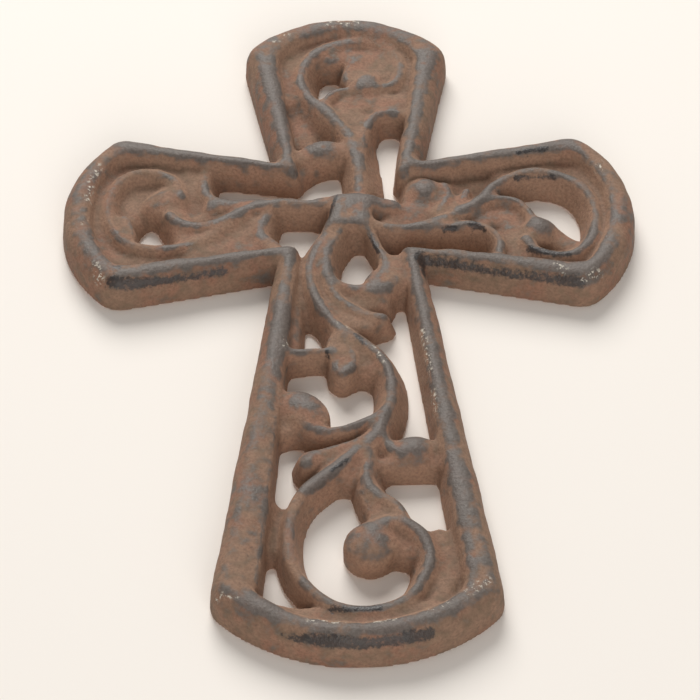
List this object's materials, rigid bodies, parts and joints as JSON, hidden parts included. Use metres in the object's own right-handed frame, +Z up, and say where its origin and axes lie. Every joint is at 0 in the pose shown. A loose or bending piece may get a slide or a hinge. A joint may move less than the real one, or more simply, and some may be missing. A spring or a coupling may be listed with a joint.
{
  "type": "cast iron wall cross",
  "caption": "Openwork cast iron wall cross with flared, round-ended arms, a raised rim and vine scrolls with berries inside it, flat at the back to lie against a wall.",
  "frame": {"origin": "on the flat back face, where the arms cross", "axes": "+Z up the cross to its top arm, +X to its right arm as seen from the front, +Y out of the back into the wall, so the front faces -Y"},
  "size_m": [0.1198, 0.008, 0.1746],
  "materials": {
    "cast_iron": "rust-brown patina over a sand-cast skin, worn to grey iron on the crests, with dark bare streaks and small pale chips along the rim"
  },
  "bodies": {
    "root": {"cross_casting": "cast_iron"}
  },
  "joints": []
}
